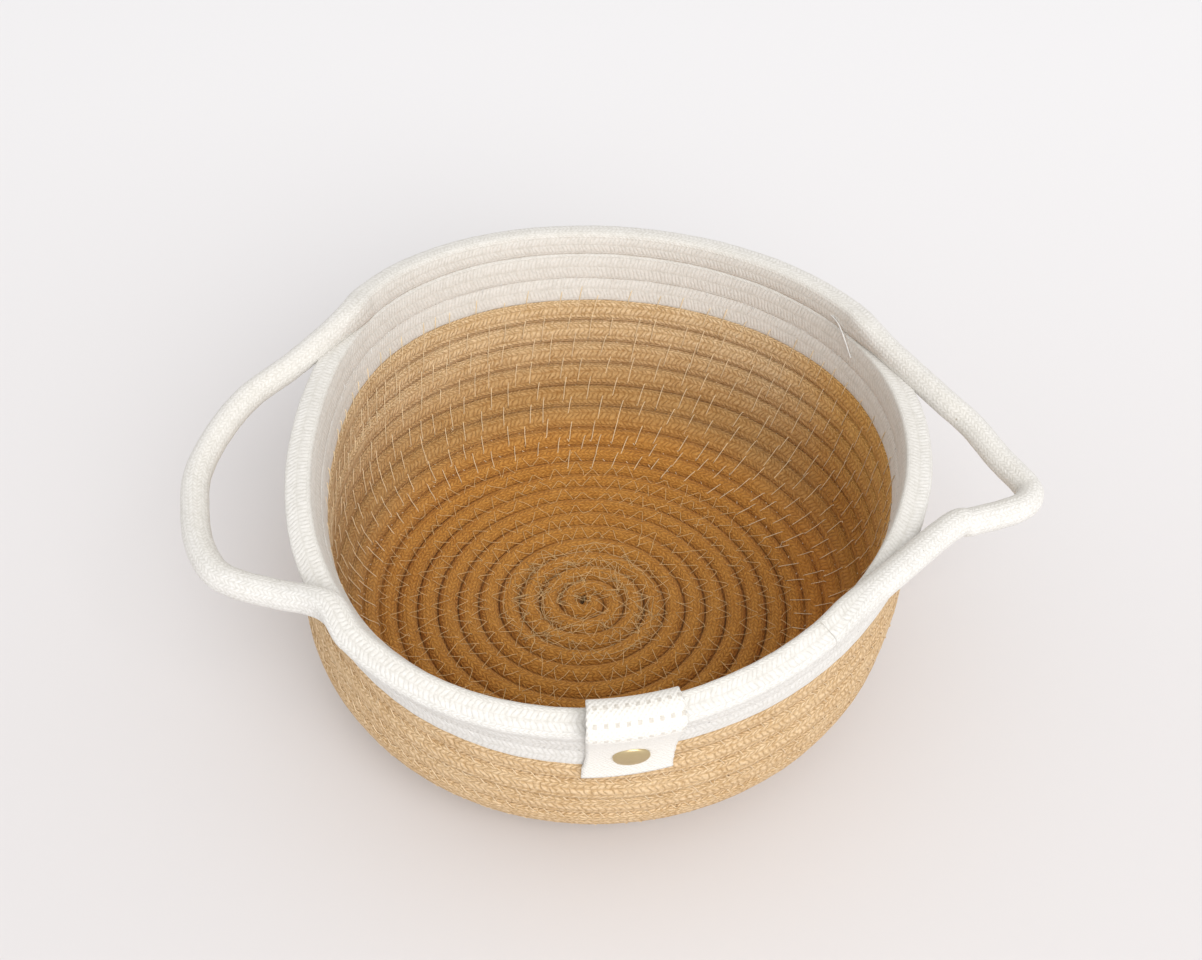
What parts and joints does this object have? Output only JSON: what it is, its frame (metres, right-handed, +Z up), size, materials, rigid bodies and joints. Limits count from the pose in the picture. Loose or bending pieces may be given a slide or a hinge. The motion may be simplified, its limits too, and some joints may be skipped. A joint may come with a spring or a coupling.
{
  "type": "rope storage basket",
  "caption": "Low round storage basket wound from thick cotton rope, tan below and white at the rim, with rope loop handles at its sides and a folded tape label on a rivet.",
  "frame": {"origin": "centre of the bounding box, on the floor that the basket stands on", "axes": "+Z up, +X to the right across both handles, -Y towards the label"},
  "size_m": [0.2602, 0.2369, 0.0929],
  "materials": {
    "tan_cotton": "braided cotton rope in tan, matt, sewn with light tan thread",
    "white_cotton": "braided cotton rope in off-white, matt",
    "tape_cotton": "plain woven cotton tape, off-white",
    "pale_brass": "satin pale brass"
  },
  "bodies": {
    "basket": {"tan_rope_base": "tan_cotton", "tan_rope_wall": "tan_cotton", "white_rope_band": "white_cotton", "rim_rope_back": "white_cotton", "rim_rope_front": "white_cotton", "label_tape": "tape_cotton", "rivet_cap": "pale_brass", "rivet_stud": "pale_brass"},
    "left_handle": {"handle_left": "white_cotton"},
    "right_handle": {"handle_right": "white_cotton"}
  },
  "joints": [
    {"name": "left_handle_swing", "type": "hinge", "parent": "basket", "child": "left_handle", "pos_m": [-0.09863, -0.02081, 0.08282], "axis": [-0.1092, 0.9918, 0.0665], "range_deg": [-50, 80], "stiffness_Nm_per_rad": 0.05},
    {"name": "right_handle_swing", "type": "hinge", "parent": "basket", "child": "right_handle", "pos_m": [0.1003, -0.01008, 0.08161], "axis": [-0.1258, -0.992, 0.0125], "range_deg": [-50, 80], "stiffness_Nm_per_rad": 0.05}
  ]
}
